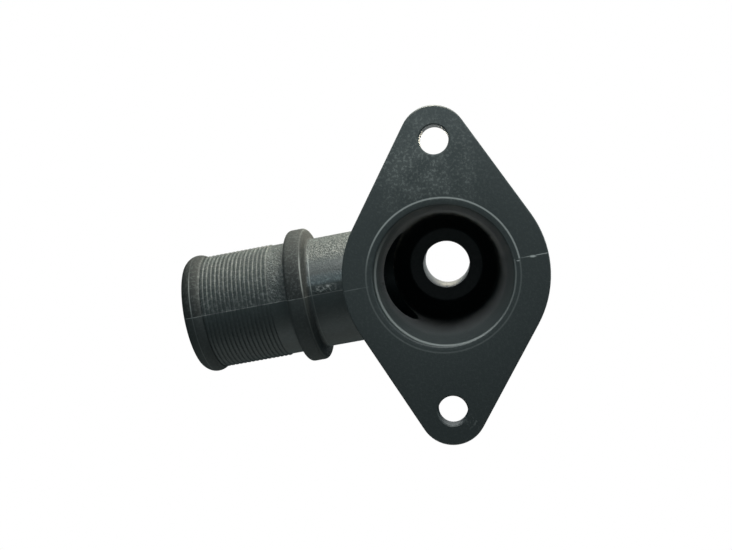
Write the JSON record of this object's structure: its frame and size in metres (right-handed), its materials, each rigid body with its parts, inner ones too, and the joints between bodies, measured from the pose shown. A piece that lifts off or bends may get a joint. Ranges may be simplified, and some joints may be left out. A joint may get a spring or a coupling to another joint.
{
  "type": "coolant flange",
  "caption": "One-piece moulded plastic coolant flange: diamond bolt flange, tapered bore, ridged side hose pipe with bead and stop collar, straight back nozzle.",
  "frame": {"origin": "centre of the bore mouth on the mounting face, half-way between the two bolt holes", "axes": "-Y is the mounting face's outward normal, towards the engine; +Z runs along the line of the bolt holes; the hose pipe points along -X, dropping a little and leaning towards +Y"},
  "size_m": [0.0915, 0.0713, 0.0802],
  "materials": {
    "black_nylon": "black glass-filled nylon, satin with a faint fibre mottle"
  },
  "bodies": {
    "root": {"flange_body": "black_nylon"}
  },
  "joints": []
}
